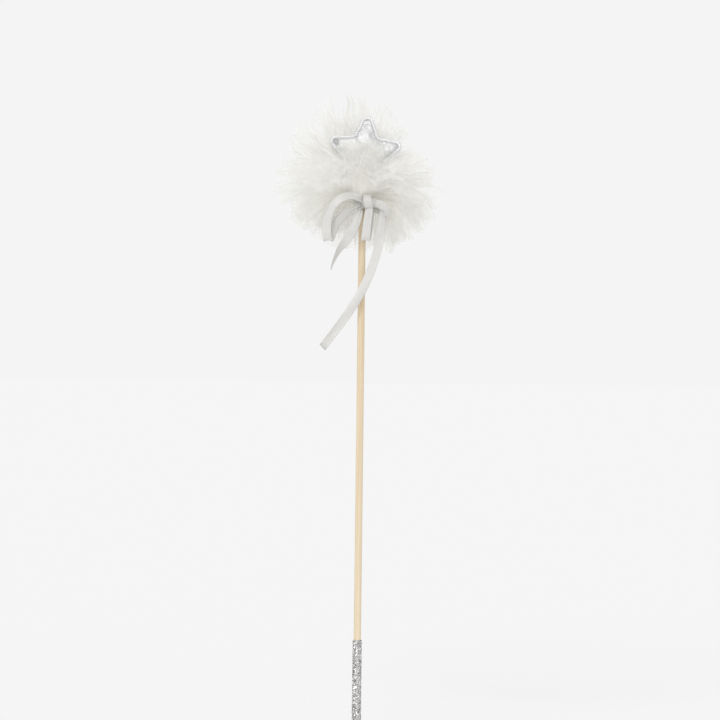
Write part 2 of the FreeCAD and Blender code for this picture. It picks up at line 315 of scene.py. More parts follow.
def satin_material():
    """White double-faced satin: a soft lengthwise sheen, fine crosswise ribs and a woven edge."""
    material, tree, shader = new_material("satin")
    uv = add(tree, "ShaderNodeTexCoord").outputs["UV"]
    ribs = add(tree, "ShaderNodeTexWave", {"Vector": uv, "Scale": 900.0, "Distortion": 0.6, "Detail": 1.0},
               wave_type="BANDS", bands_direction="X").outputs["Fac"]
    floats = add(tree, "ShaderNodeTexNoise", {"Vector": scaled(tree, uv, (260, 3000, 1)), "Scale": 1.0,
                                              "Detail": 3.0}).outputs["Fac"]
    across = add(tree, "ShaderNodeSeparateXYZ", {0: uv}).outputs[1]
    edge = calc(tree, "MULTIPLY_ADD", calc(tree, "ABSOLUTE", across), 1 / (0.35 * MM), -2.6 / 0.35, clamp=True)
    tone = ramp(tree, floats, [(0.3, (0.690, 0.682, 0.658)), (0.7, (0.758, 0.750, 0.727))])
    dull = add(tree, "ShaderNodeMix", {0: calc(tree, "MULTIPLY", edge, 0.35), 6: tone,
                                       7: (0.66, 0.655, 0.64, 1)}, data_type="RGBA").outputs[2]
    tree.links.new(dull, shader.inputs["Base Color"])
    tree.links.new(calc(tree, "MULTIPLY_ADD", edge, 0.25, 0.30), shader.inputs["Roughness"])
    shader.inputs["Anisotropic"].default_value = 0.6
    shader.inputs["Sheen Weight"].default_value = 0.25
    shader.inputs["Sheen Roughness"].default_value = 0.4
    shader.inputs["Specular IOR Level"].default_value = 0.6
    height = calc(tree, "ADD", calc(tree, "MULTIPLY", ribs, 0.25), floats)
    bump(tree, shader, height, 0.16, 0.03 * MM)
    through = add(tree, "ShaderNodeBsdfTranslucent", {"Color": (0.72, 0.715, 0.69, 1)}).outputs[0]
    mix = add(tree, "ShaderNodeMixShader", {0: 0.18, 1: shader.outputs[0], 2: through}).outputs[0]
    tree.links.new(mix, tree.nodes["Material Output"].inputs["Surface"])
    return material


def foil_material():
    """Silver foil bonded to fabric: bright, with a fine crinkle and a faint weave, and painted shade that turns the
    tuck in the left tip near black.
    """
    material, tree, shader = new_material("silver_foil")
    place = add(tree, "ShaderNodeTexCoord").outputs["Object"]
    crinkle = add(tree, "ShaderNodeTexVoronoi", {"Vector": place, "Scale": 620.0, "Detail": 1.0},
                  feature="SMOOTH_F1").outputs["Distance"]
    crease = add(tree, "ShaderNodeTexNoise", {"Vector": place, "Scale": 260.0, "Detail": 5.0,
                                              "Roughness": 0.6}).outputs["Fac"]
    tone = ramp(tree, crease, [(0.3, (0.555, 0.555, 0.56)), (0.7, (0.625, 0.625, 0.625))])
    # painted shade: where the tuck attribute is 1 the foil's colour goes near black, for the shade and dark reflection
    # in the crease
    tuck = add(tree, "ShaderNodeAttribute", attribute_name="tuck").outputs["Fac"]
    tuck_painted_shade = add(tree, "ShaderNodeMix", {0: tuck, 6: tone, 7: (0.02, 0.02, 0.021, 1)}, data_type="RGBA").outputs[2]
    tree.links.new(tuck_painted_shade, shader.inputs["Base Color"])
    shader.inputs["Metallic"].default_value = 0.55
    tree.links.new(calc(tree, "MULTIPLY_ADD", crinkle, 0.2, 0.40), shader.inputs["Roughness"])
    bump(tree, shader, calc(tree, "ADD", crinkle, crease), 0.35, 0.25 * MM)
    return material


def metal_thread_material():
    """Silver twisted cord: fine metallic filaments that wind along each strand, lighter on their crests and darker
    between them as painted highlight and shade.
    """
    material, tree, shader = new_material("silver_piping")
    uv = add(tree, "ShaderNodeTexCoord").outputs["UV"]
    filament = add(tree, "ShaderNodeTexWave", {"Vector": scaled(tree, uv, (1.0, 2.0, 1.0)), "Scale": 500.0,
                                               "Distortion": 1.5, "Detail": 2.0}, wave_type="BANDS",
                   bands_direction="DIAGONAL").outputs["Fac"]
    # painted highlight and shade: the colour is light on the filaments' crests and dark in the grooves between them
    tone = ramp(tree, filament, [(0.1, (0.58, 0.58, 0.59)), (0.6, (0.93, 0.93, 0.935))])
    tree.links.new(tone, shader.inputs["Base Color"])
    shader.inputs["Metallic"].default_value = 0.9
    tree.links.new(calc(tree, "MULTIPLY_ADD", filament, -0.15, 0.42), shader.inputs["Roughness"])
    bump(tree, shader, filament, 0.5, 0.06 * MM)
    return material


def glitter_material():
    """Glitter tape: flakes that each face their own way, some bright, some in shade."""
    material, tree, shader = new_material("glitter_tape")
    place = add(tree, "ShaderNodeTexCoord").outputs["Object"]
    flake = add(tree, "ShaderNodeTexVoronoi", {"Vector": place, "Scale": 1900.0})
    tint = add(tree, "ShaderNodeSeparateColor", {0: flake.outputs["Color"]})
    tone = ramp(tree, tint.outputs[0], [(0.0, (0.30, 0.29, 0.29)), (0.35, (0.60, 0.59, 0.58)),
                                        (0.8, (0.85, 0.84, 0.83)), (1.0, (0.97, 0.96, 0.96))])
    tree.links.new(tone, shader.inputs["Base Color"])
    shader.inputs["Metallic"].default_value = 0.85
    tree.links.new(calc(tree, "MULTIPLY_ADD", tint.outputs[1], 0.25, 0.16), shader.inputs["Roughness"])
    lean = vector_calc(tree, "SUBTRACT", flake.outputs["Color"], (0.5, 0.5, 0.5))
    normal = add(tree, "ShaderNodeNewGeometry").outputs["Normal"]
    tilted = vector_calc(tree, "ADD", normal, vector_calc(tree, "MULTIPLY", lean, (1.3, 1.3, 1.3)))
    tree.links.new(vector_calc(tree, "NORMALIZE", tilted), shader.inputs["Normal"])
    return material


def plain_fibre_material(name, low, high, scale, roughness):
    """Matt stuff with a fine random grain, for thread, filling and glue."""
    material, tree, shader = new_material(name)
    place = add(tree, "ShaderNodeTexCoord").outputs["Object"]
    grain = add(tree, "ShaderNodeTexNoise", {"Vector": place, "Scale": scale, "Detail": 4.0}).outputs["Fac"]
    tree.links.new(ramp(tree, grain, [(0.3, low), (0.7, high)]), shader.inputs["Base Color"])
    shader.inputs["Roughness"].default_value = roughness
    bump(tree, shader, grain, 0.4, 0.1 * MM)
    return material


# ---------------------------------------------------------------- stick and grip

def make_stick(material):
    """The turned dowel: not quite round or straight, with its two chamfered ends."""
    columns, chamfer = 64, 0.4 * MM
    top = STICK[1][2]
    heights = [BUTT_Z, BUTT_Z, BUTT_Z + chamfer] + list(np.linspace(BUTT_Z + 1 * MM, top - 1 * MM, 160))
    heights += [top - chamfer, top, top]
    shares = [0.0, 1 - chamfer / STICK_R] + [1.0] * (len(heights) - 4) + [1 - chamfer / STICK_R, 0.0]
    vertices = []
    for height, share in zip(heights, shares):
        for column in range(columns):
            angle = 2 * math.pi * column / columns
            spot = Vector((math.cos(angle) * 0.8, math.sin(angle) * 0.8, height * 30))
            radius = STICK_R * share - 0.03 * MM * share * (1 + noise.noise(spot))
            vertices.append((radius * math.cos(angle), radius * math.sin(angle), height))
    stick = new_object("stick_wood", vertices, grid_faces(len(heights), columns, wrap=True), material)
    return settle(stick, "wand", "birch", "stick")


def make_grip(material):
    """Glitter tape wound round the stick in overlapping turns, with loose flakes standing on it."""
    rng = random.Random(5)
    low, high = GRIP[0][2], GRIP[1][2]
    columns, rows, pitch = 96, 420, 9.5 * MM
    core = GRIP_R - 0.2 * MM
    vertices = []
    for row in range(rows):
        height = low + (high - low) * row / (rows - 1)
        for column in range(columns):
            angle = 2 * math.pi * column / columns
            turn = ((height - low) / pitch - angle / (2 * math.pi)) % 1.0
            lap = 0.13 * MM * max(0.0, 1 - turn / 0.16) - 0.10 * MM * max(0.0, 1 - abs(turn - 0.985) / 0.02)
            spot = Vector((math.cos(angle) * 3, math.sin(angle) * 3, height * 1000)) * 2.2
            grit = 0.06 * MM * noise.noise(spot)
            radius = core + lap + grit
            vertices.append((radius * math.cos(angle), radius * math.sin(angle), height))
    faces = grid_faces(rows, columns, wrap=True)
    for row, radius_in in ((0, STICK_R), (rows - 1, STICK_R)):
        first = len(vertices)
        height = low if row == 0 else high
        for column in range(columns):
            angle = 2 * math.pi * column / columns
            vertices.append((radius_in * math.cos(angle), radius_in * math.sin(angle), height))
        for column in range(columns):
            after = (column + 1) % columns
            face = (row * columns + column, row * columns + after, first + after, first + column)
            faces.append(face[::-1] if row == 0 else face)
    for flake in range(5200):
        height = rng.uniform(low + 0.4 * MM, high - 0.4 * MM)
        angle = rng.uniform(0, 2 * math.pi)
        out = Vector((math.cos(angle), math.sin(angle), 0))
        size = rng.uniform(0.18, 0.42) * MM
        centre = out * (core + rng.uniform(0.04, 0.16) * MM) + UP * height
        facing = (out + Vector([rng.uniform(-0.7, 0.7) for axis in range(3)])).normalized()
        side = facing.cross(UP).normalized()
        across = facing.cross(side)
        first = len(vertices)
        spin = rng.uniform(0, math.pi)
        for corner in range(6):
            bearing = spin + corner * math.pi / 3
            vertices.append(centre + (side * math.cos(bearing) + across * math.sin(bearing)) * size)
        faces.append(tuple(range(first, first + 6)))
    grip = new_object("grip_glitter_tape", vertices, faces, material)
    return settle(grip, "wand", "glitter_tape", "grip_wrap")


# ---------------------------------------------------------------- star

STAR_CENTRE = Vector((1.1 * MM, 0, 369.1 * MM))
STAR_TILT = -4.5
STAR_TIP_R, STAR_VALLEY_R = 28.9 * MM, 13.2 * MM
STAR_TIP_FILLET, STAR_VALLEY_FILLET = 3.0 * MM, 4.0 * MM
STAR_DEPTH = 6.2 * MM
PIPING_R = 1.6 * MM
# the tuck in the left tip, whose colour holds painted shade: its middle, half width, half length, lean and depth
TUCK_X, TUCK_Z, TUCK_HALF_WIDTH, TUCK_HALF_LENGTH = -18.4 * MM, 377.8 * MM, 1.1 * MM, 3.2 * MM
TUCK_LEAN, TUCK_DEPTH = math.radians(14), 1.6 * MM


def star_outline(step):
    """Even points round the seam: a five-armed star with round arms and valleys."""
    corners = []
    for index in range(10):
        angle = math.radians(90 + STAR_TILT + 36 * index)
        radius = STAR_TIP_R if index % 2 == 0 else STAR_VALLEY_R
        corners.append(Vector((math.cos(angle), 0, math.sin(angle))) * radius)
    points = []
    for index, corner in enumerate(corners):
        before = (corners[index - 1] - corner).normalized()
        after = (corners[(index + 1) % 10] - corner).normalized()
        fillet = STAR_TIP_FILLET if index % 2 == 0 else STAR_VALLEY_FILLET
        half = before.angle(after) / 2
        start = corner + before * (fillet / math.tan(half))
        end = corner + after * (fillet / math.tan(half))
        centre = corner + (before + after).normalized() * (fillet / math.sin(half))
        for share in np.linspace(0, 1, 9):
            spoke = (start - centre).lerp(end - centre, share).normalized() * fillet
            points.append(STAR_CENTRE + centre + spoke)
    return even_points(points + [points[0]], step)[:-1]


def even_points(points, step):
    """The same line with points an even step apart."""
    spots = np.array([tuple(p) for p in points], float)
    walked = np.append(0, np.cumsum(np.linalg.norm(np.diff(spots, axis=0), axis=1)))
    count = max(2, round(walked[-1] / step)) + 1
    places = np.linspace(0, walked[-1], count)
    return [Vector([np.interp(place, walked, spots[:, axis]) for axis in range(3)]) for place in places]


def inflate(pillow, seam):
    """Cloth simulation: the two panels fill out while the seam holds, with cloth to spare for puckers."""
    held = pillow.vertex_groups.new(name="seam")
    seam_points = np.array([tuple(p) for p in seam])
    for vertex in pillow.data.vertices:
        away = np.min(np.linalg.norm(seam_points - np.array(vertex.co), axis=1))
        if away < 1.3 * MM:
            held.add([vertex.index], 1.0, "REPLACE")
    cloth = pillow.modifiers.new("cloth", "CLOTH")
    settings = cloth.settings
    settings.quality = 8
    settings.mass = 0.2
    settings.tension_stiffness = 18
    settings.compression_stiffness = 18
    settings.shear_stiffness = 6
    settings.bending_stiffness = 0.02
    settings.shrink_min = -0.045
    settings.use_pressure = True
    settings.uniform_pressure_force = 5
    settings.vertex_group_mass = "seam"
    settings.effector_weights.gravity = 0
    cloth.collision_settings.use_self_collision = False
    scene = bpy.context.scene
    for tick in range(1, 25):
        scene.frame_set(tick)
    apply_modifiers(pillow)
    scene.frame_set(1)


def make_pillow(material):
    """The stuffed star as one closed skin, before it is divided into its two panels."""
    seam = star_outline(1.0 * MM)
    rings = 9
    count = len(seam)
    rows = []
    for side in (-1, 1):
        for ring in range(1, rings + 1) if side < 0 else range(rings - 1, 0, -1):
            share = ring / rings
            depth = side * 0.72 * STAR_DEPTH * math.sqrt(1 - share * share)
            rows.append([STAR_CENTRE + (p - STAR_CENTRE) * (share * 0.985) + Vector((0, depth, 0)) for p in seam])
    vertices = [p for row in rows for p in row]
    faces = grid_faces(len(rows), count, wrap=True)
    for row, side in ((0, -1), (len(rows) - 1, 1)):
        vertices.append(STAR_CENTRE + Vector((0, side * 0.72 * STAR_DEPTH, 0)))
        hub = len(vertices) - 1
        for column in range(count):
            spoke = (row * count + column, row * count + (column + 1) % count, hub)
            faces.append(spoke[::-1] if side < 0 else spoke)
    pillow = new_object("star_pillow", vertices, faces, material)
    even = pillow.modifiers.new("even", "REMESH")
    even.mode = "VOXEL"
    even.voxel_size = 0.85 * MM
    even.use_smooth_shade = True
    apply_modifiers(pillow)
    inflate(pillow, seam)
    finer = pillow.modifiers.new("finer", "SUBSURF")
    finer.levels = 1
    apply_modifiers(pillow)
    for vertex in pillow.data.vertices:
        offset = vertex.co.y
        vertex.co.y = math.copysign(min(abs(offset), STAR_DEPTH), offset)
        vertex.co.y += TUCK_DEPTH * tuck_share(vertex.co)
    return pillow, seam


def tuck_share(spot):
    """1 in the middle of the tuck in the front panel's left tip, and 0 outside it."""
    x, z = spot.x - TUCK_X, spot.z - TUCK_Z
    across = (x * math.cos(TUCK_LEAN) + z * math.sin(TUCK_LEAN)) / TUCK_HALF_WIDTH
    along = (z * math.cos(TUCK_LEAN) - x * math.sin(TUCK_LEAN)) / TUCK_HALF_LENGTH
    return math.exp(-(across ** 2 + along ** 2) ** 1.5) if spot.y < 0 else 0.0


def star_panel(pillow, name, side, material):
    """The half of the skin on one side of the seam, with its cloth's thickness."""
    mesh = pillow.data
    kept = [polygon for polygon in mesh.polygons if polygon.center.y * side >= 0]
    used = sorted({index for polygon in kept for index in polygon.vertices})
    renumbered = {old: new for new, old in enumerate(used)}
    vertices = [mesh.vertices[index].co.copy() for index in used]
    faces = [[renumbered[index] for index in polygon.vertices] for polygon in kept]
    panel = new_object(name, vertices, faces, material)
    # the tuck attribute carries the painted shade of the tuck to the foil's colour
    layer = panel.data.attributes.new("tuck", "FLOAT", "POINT")
    layer.data.foreach_set("value", [tuck_share(spot) for spot in vertices])
    thicken(panel, 0.3 * MM, -1.0)
    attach(panel, "wand")
    return panel


def make_star(foil, piping, filling):
    pillow, seam = make_pillow(foil)
    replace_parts(star_panel(pillow, "star_front_panel", -1, foil), "star_front_cover")
    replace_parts(star_panel(pillow, "star_back_panel", 1, foil), "star_back_cover")
    stuffing = [vertex.co - vertex.normal * (0.7 * MM) for vertex in pillow.data.vertices]
    faces = [tuple(polygon.vertices) for polygon in pillow.data.polygons]
    settle(new_object("star_stuffing", stuffing, faces, filling), "wand", "filling", "star_padding")
    bpy.data.objects.remove(pillow)
    make_piping(seam, piping)


def make_piping(seam, material):
    """Three strands twisted into a cord, laid along the seam and tucked in on each side of the stick."""
    path = even_points(seam + [seam[0]], 0.27 * MM)[:-1]
    start = min(range(len(path)), key=lambda i: (path[i] - Vector((0, 0, path[i].z))).length + path[i].z * 0.3)
    path = path[start:] + path[:start]
    gap = int((STICK_R + 0.1 * MM) / (0.27 * MM))
    path = path[gap:-gap]
    sides, strands, pitch = 8, 3, 5.4 * MM
    strand_r = PIPING_R * 0.54
    vertices, faces, uvs = [], [], []
    for strand in range(strands):
        first = len(vertices)
        for index, point in enumerate(path):
            ahead = path[min(index + 1, len(path) - 1)] - path[max(index - 1, 0)]
            along = ahead.normalized()
            inward = Vector((0, 1, 0)).cross(along).normalized()
            walked = index * 0.27 * MM
            lay = 2 * math.pi * (walked / pitch + strand / strands)
            off = inward * math.cos(lay) + Vector((0, 1, 0)) * math.sin(lay)
            centre = point + off * (PIPING_R - strand_r)
            ends = min(index, len(path) - 1 - index)
            radius = strand_r * min(1.0, 0.35 + ends * 0.2)
            for side in range(sides):
                angle = 2 * math.pi * side / sides
                spoke = inward * math.cos(angle) + Vector((0, 1, 0)) * math.sin(angle)
                vertices.append(centre + spoke * radius)
                uvs.append((walked, side / sides * 2 * math.pi * strand_r))
        faces += grid_faces(len(path), sides, wrap=True, first=first)
        faces.append(tuple(first + side for side in range(sides)))
        end = first + (len(path) - 1) * sides
        faces.append(tuple(end + side for side in reversed(range(sides))))
    cord = new_object("star_twisted_piping", vertices, faces, material, uvs)
    return settle(cord, "wand", "silver_piping", "star_piping")


# ---------------------------------------------------------------- tulle

NECK_R, NECK_STEP = 2.75 * MM, 0.25 * MM
NECK_BELOW, NECK_ABOVE, NECK_BEND_CENTRE_R = 2 * MM, 1 * MM, 6.05 * MM
# name, place in the neck's stack, rise at the neck and at the rim, reach, first and last azimuth, folds,
# the angle of the round net it is cut from, how full of the puff its plies reach
TULLE = [
    ("tulle_back_1", 0, 71, 82, 75.5, 18, 162, 8, 92, 1.0),
    ("tulle_back_2", 1, 67, 55, 75.0, 12, 168, 10, 155, 1.0),
    ("tulle_back_3", 2, 62, 31, 70.0, 6, 174, 11, 200, 0.96),
    ("tulle_back_4", 3, 50, 4, 66.0, 4, 176, 12, 240, 0.90),
    ("tulle_back_5", 4, 36, -14, 62.0, -6, 186, 12, 275, 0.90),
    ("tulle_front_1", 0, 78, 66, 46.0, -140, -40, 9, 72, 1.0),
    ("tulle_front_2", 2, 68, 24, 54.0, -152, -28, 11, 150, 0.97),
    ("tulle_front_3", 3, 54, -22, 58.0, -188, 8, 13, 270, 0.88),
    ("tulle_low_1", 5, 34, -44, 58.0, -16, 204, 14, 332, 0.95),
    ("tulle_low_2", 6, 18, -60, 52.0, -14, 203, 13, 335, 0.99),
    ("tulle_low_3", 7, 2, -70, 48.0, -12, 200, 13, 335, 0.99),
    ("tulle_low_4", 8, -14, -92, 46.0, -12, 192, 11, 280, 0.95),
]
PLIES = 3
PLY_SPREAD, PLY_SPREAD_IN_FRONT = 11, 16
# how far the puff reaches from the tie, seen from the front: degrees from the right, and mm
PUFF = [(-90, 35), (-70, 36), (-51, 39), (-33, 43), (-14, 47), (0, 52), (8, 54), (20, 57), (32, 59), (45, 61),
        (60, 63), (72, 67), (85, 73), (98, 75.5), (108, 73), (117, 71), (132, 69), (145, 68), (160, 66), (168, 63),
        (176, 59), (184, 55), (193, 49), (207, 42), (225, 37), (240, 35), (255, 34)]


def puff_reach(x, height):
    bearing = np.degrees(np.arctan2(height, x))
    angles, sizes = zip(*PUFF)
    return np.interp(bearing, angles, sizes, period=360) * MM


def front_crest(x):
    """How high above the tie the cloth in front of the star reaches: the side arms' ends stay in sight."""
    return np.interp(np.abs(x - STAR_CENTRE.x), [0, 0.014, 0.020, 0.028, 0.036, 0.060],
                     [0.040, 0.040, 0.029, 0.027, 0.034, 0.060])


def tulle_profile(neck, rise_in, rise_out, reach, rows):
    """Distance out, height, heading and length walked at each step of each column's way out from the tie."""
    bend_r = NECK_BEND_CENTRE_R - neck
    bend = bend_r * (math.pi / 2 - rise_in)
    straight = NECK_BELOW + NECK_ABOVE
    walked = np.linspace(0, 1, rows)[:, None] ** 1.1 * (straight + bend + reach)[None, :]
    step = np.diff(walked, axis=0, prepend=0)
    outward = np.clip((walked - straight - bend) / reach, 0, 1)
    heading = np.where(walked < straight, np.pi / 2,
                       np.where(walked < straight + bend, np.pi / 2 - (walked - straight) / bend_r,
                                rise_in + (rise_out - rise_in) * outward))
    r = neck + np.cumsum(np.cos(heading) * step, axis=0)
    height = -NECK_BELOW + np.cumsum(np.sin(heading) * step, axis=0)
    return r, height, heading, walked, outward


def tulle_ply(spec, ply, seed):
    """Points of one gathered ply, a column for each place along the gather and a row for each step out."""
    name, stack, low, high, length, azimuth_in, azimuth_out, folds, cut, full = spec
    rng = np.random.default_rng(seed)
    columns, rows = folds * 17 + 1, 42
    u = np.linspace(0, 1, columns)
    arc = math.radians(azimuth_out - azimuth_in)
    around = math.radians(azimuth_in) + arc * u
    parted = ply - (PLIES - 1) / 2  # -1 for the highest ply, 1 for the lowest
    rise_in = np.radians(low - 3 * parted + 5 * wander(columns, folds, seed + 1))
    spread = PLY_SPREAD_IN_FRONT if "front" in name else PLY_SPREAD
    rise_out = np.radians(high - spread * parted + 15 * wander(columns, folds, seed + 2))
    neck = NECK_R + NECK_STEP * (stack + 0.9 * ply / PLIES)
    reach = np.full(columns, length * MM)
    share = full - 0.13 * ply + 0.07 * (1 + ply) * wander(columns, folds * 2, seed + 3)
    for fitting in range(2):
        r, height, heading, walked, outward = tulle_profile(neck, rise_in, rise_out, reach, rows)
        x = r[-1] * np.cos(around)
        fit = share * puff_reach(x, height[-1]) / np.hypot(x, height[-1])
        if "front" in name:
            fit = np.where(height[-1] > 0, np.minimum(fit, front_crest(x) / np.maximum(height[-1], 1e-3)), fit)
        reach = reach * np.clip(fit, 0.5, 1.0)
    r, height, heading, walked, outward = tulle_profile(neck, rise_in, rise_out, reach, rows)
    edges = np.append(0, np.cumsum(rng.uniform(0.5, 1.6, folds)))
    phase = np.interp(u, edges / edges[-1], np.arange(folds + 1)) * 2 * np.pi + rng.uniform(0, 6)
    size = 0.6 + 0.4 * wander(columns, folds + 1, seed + 4)
    drift = 1.2 * outward * wander(columns, folds, seed + 7)
    wave = np.sin(phase + drift) + 0.3 * np.sin(2.6 * phase + seed) * (1 - outward)
    lift = np.minimum(0.36 * r * arc / folds, 5.0 * MM) * outward ** 0.3 * size * wave
    lift += 1.0 * MM * outward * wander(columns, folds * 3, seed + 5)
    slide = -0.13 * np.sin(2 * phase + 2 * drift) * arc / folds * np.minimum(1, outward * 3)
    r = np.maximum(r - lift * np.sin(heading), neck * 0.98)
    height = height + lift * np.cos(heading)
    azimuth = around[None, :] + slide + 0.10 * outward * wander(columns, 6, seed + 6)
    points = np.stack([r * np.cos(azimuth), r * np.sin(azimuth), TIE_Z + height], axis=-1)
    leaning = np.clip(height / (70 * MM), 0, 1.2) ** 1.5
    points[..., 0] -= 5.5 * MM * leaning
    theta = math.radians(cut) * (u[None, :] - 0.5)
    flat = np.stack([walked * np.sin(theta), walked * np.cos(theta)], axis=-1)
    return points, flat, walked


def crumple(points, seed):
    """Small random folds of the whole cloth, none at the neck."""
    shift = Vector((seed * 3.1, seed * 1.7, seed * 0.9))
    moved = []
    for spot in points.reshape(-1, 3):
        here = Vector(spot)
        away = (here - Vector((0, 0, TIE_Z))).length
        share = min(1.0, max(0.0, (away - 7 * MM) / (24 * MM)))
        broad = noise.noise_vector(here * 48 + shift) * (3.4 * MM)
        middling = noise.noise_vector(here * 105 + shift) * (1.5 * MM)
        fine = noise.noise_vector(here * 280 + shift) * (0.3 * MM)
        moved.append(here + (broad + middling + fine) * share)
    return np.array(moved).reshape(points.shape)


def keep_off_star(points, side):
    """Moves cloth that would pass through the star to just in front of it (side -1) or behind it (side 1)."""
    x, y, z = points[..., 0], points[..., 1], points[..., 2]
    away = np.hypot(x - STAR_CENTRE.x, z - STAR_CENTRE.z) / (28 * MM)
    room = (STAR_DEPTH + 1.0 * MM) * np.sqrt(np.clip(1.06 - away ** 2, 0, 1)) + 0.4 * MM
    blocked = (y * side < room) & (z > TIE_Z + 7 * MM) & (away < 1.03)
    points[..., 1] = np.where(blocked, side * room, y)
    return points


def cell_areas(points):
    a = np.diff(points, axis=0)[:, :-1]
    b = np.diff(points, axis=1)[:-1]
    if points.shape[-1] == 2:
        return np.abs(a[..., 0] * b[..., 1] - a[..., 1] * b[..., 0])
    return np.linalg.norm(np.cross(a, b), axis=-1)


def make_tulle(material):
    """Each panel is three plies of net, sectors of a round cut, pinched at their centre."""
    for number, spec in enumerate(TULLE):
        name, cut = spec[0], math.radians(spec[-2])
        side = -1 if "front" in name else 1
        vertices, faces, uvs, crowding, neck_painted_light, radii = [], [], [], [], [], []
        for ply in range(PLIES):
            seed = 40 + number * 17 + ply * 300
            points, flat, walked = tulle_ply(spec, ply, seed)
            points = keep_off_star(crumple(points, seed), side)
            rows, columns = points.shape[:2]
            faces += grid_faces(rows, columns, first=len(vertices))
            vertices += list(points.reshape(-1, 3))
            uvs += list((flat + ply * 0.4).reshape(-1, 2))
            made = cell_areas(points)
            crowd = np.clip(cell_areas(flat) / np.maximum(made, 1e-12), 0.7, 2.0)
            crowd += 5.0 * np.exp(-walked[:-1, :-1] / (9.0 * MM))
            crowding += list(np.pad(crowd, ((0, 1), (0, 1)), mode="edge").ravel())
            # painted light near the neck: 1 up to 9 mm from the tie, fading to 0 at 45 mm
            neck_painted_light += list(np.clip(1.25 - walked / (36 * MM), 0, 1).ravel())
            radii.append(float(np.sqrt((walked[-1] ** 2).mean())))
        panel = new_object(name + "_net", vertices, faces, material, uvs)
        for layer_name, values in (("crowding", crowding), ("neck_painted_light", neck_painted_light)):
            layer = panel.data.attributes.new(layer_name, "FLOAT", "POINT")
            layer.data.foreach_set("value", np.array(values, np.float32))
        settle(panel, "wand", "tulle", name)


def make_thread(material):
    """Sewing thread wound round the neck, six close turns."""
    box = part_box("tulle_thread")
    thread_r = 0.2 * MM
    coil_r = (box[1][0] - box[0][0]) / 2 - thread_r - 0.05 * MM
    turns, steps, sides = 6, 48, 8
    vertices = []
    rows = turns * steps + 1
    for row in range(rows):
        angle = 2 * math.pi * row / steps
        height = box[0][2] + thread_r + (box[1][2] - box[0][2] - 2 * thread_r) * row / (rows - 1)
        out = Vector((math.cos(angle), math.sin(angle), 0))
        for side in range(sides):
            around = 2 * math.pi * side / sides
            vertices.append(out * (coil_r + thread_r * math.cos(around)) + UP * (height + thread_r * math.sin(around)))
    faces = grid_faces(rows, sides, wrap=True)
    faces.append(tuple(range(sides)))
    faces.append(tuple((rows - 1) * sides + side for side in reversed(range(sides))))
    thread = new_object("tulle_thread_winding", vertices, faces, material)
    return settle(thread, "wand", "thread", "tulle_thread")


# ---------------------------------------------------------------- satin bow

RIBBON_WIDTH = 6 * MM
RIBBON_THICKNESS = 0.22 * MM


def line_points(points):
    """Points along the smooth line that has these points as its control points."""
    curve = bpy.data.curves.new("line", "CURVE")
    curve.dimensions = "3D"
    curve.resolution_u = 12
    spline = curve.splines.new("NURBS")
    spline.points.add(len(points) - 1)
    for point, place in zip(spline.points, points):
        point.co = (*place, 1)
    spline.order_u = 3
    spline.use_endpoint_u = True
    holder = bpy.data.objects.new("line", curve)
    bpy.context.scene.collection.objects.link(holder)
    mesh = bpy.data.meshes.new_from_object(holder)
    line = [vertex.co.copy() for vertex in mesh.vertices]
    bpy.data.objects.remove(holder)
    return line


def ribbon(name, route, material, width=RIBBON_WIDTH, ends=(0, 0), pinched=(0, 0)):
    """A ribbon along a route. Each point of the route has its place and the way the width runs, in mm.
    ends are the slants of its two cut ends, pinched how strongly each end is gathered by the knot."""
    centre = line_points([Vector(place) * MM for place, side in route])
    edge = line_points([Vector(place) * MM + Vector(side) * 10 * MM for place, side in route])
    columns = 17
    vertices, uvs = [], []
    walked = 0.0
    last = len(centre) - 1
    length = sum((b - a).length for a, b in zip(centre, centre[1:]))
    for index, point in enumerate(centre):
        along = (centre[min(index + 1, last)] - centre[max(index - 1, 0)]).normalized()
        side = edge[index] - point
        side = (side - along * side.dot(along)).normalized()
        face = along.cross(side)
        if index:
            walked += (point - centre[index - 1]).length
        fading = min(5 * MM, length / 12)
        gather = pinched[0] * math.exp(-walked / fading) + pinched[1] * math.exp(-(length - walked) / fading)
        for column in range(columns):
            place = 2 * column / (columns - 1) - 1
            across = place * width / 2
            cup = 0.10 * width * (1 - place ** 2) * math.sin(walked / (9 * MM) + 1)
            cup += 0.9 * MM * gather * math.cos(4.5 * math.pi * place / 2 + 0.6)
            ripple = 0.10 * MM * noise.noise(Vector((walked * 300, across * 250, len(name))))
            slant = 0.0
            if index == 0:
                slant = ends[0] * across
            if index == last:
                slant = ends[1] * across
            vertices.append(point + side * across * (1 - 0.42 * gather) + face * (cup + ripple) + along * slant)
            uvs.append((walked, across))
    piece = new_object(name, vertices, grid_faces(len(centre), columns), material, uvs)
    thicken(piece, RIBBON_THICKNESS)
    return piece, centre


SIDE = (1, 0, 0)
LOOP_LEFT = [((3, -9.6, 336.0), (0.0, 0.3, 1)), ((-3, -10.8, 339.8), (0.1, 0.35, 0.9)),
             ((-11, -11.8, 340.4), (-0.25, 0.4, 0.9)), ((-19.6, -12.0, 335.0), (-0.7, 0.35, 0.65)),
             ((-23.9, -11.6, 324.5), (-0.95, 0.25, 0.15)), ((-24.0, -11.2, 314.0), (-1, 0.1, 0)),
             ((-23.2, -9.8, 308.8), (-1, 0, 0)), ((-21.6, -7.2, 311.2), (-1, -0.1, 0.1)),
             ((-18.0, -6.9, 322), (-0.9, -0.1, 0.4)), ((-10, -7.1, 330.0), (-0.6, -0.2, 0.75)),
             ((1, -8.0, 334.5), (-0.2, -0.2, 0.95))]
LOOP_RIGHT = [((6, -9.8, 334.8), (0.1, 0.1, 1)), ((10.5, -11.8, 335.6), (0.2, 0.0, 1)),
              ((15.0, -12.8, 332.0), (0.45, -0.1, 1)), ((18.0, -10.0, 328.2), (0.6, 0.0, 1)),
              ((15.0, -7.2, 328.2), (0.5, 0.0, 1)), ((10.8, -7.4, 331.2), (0.3, 0.0, 1)),
              ((5, -8.2, 334.0), (0.1, 0, 1))]
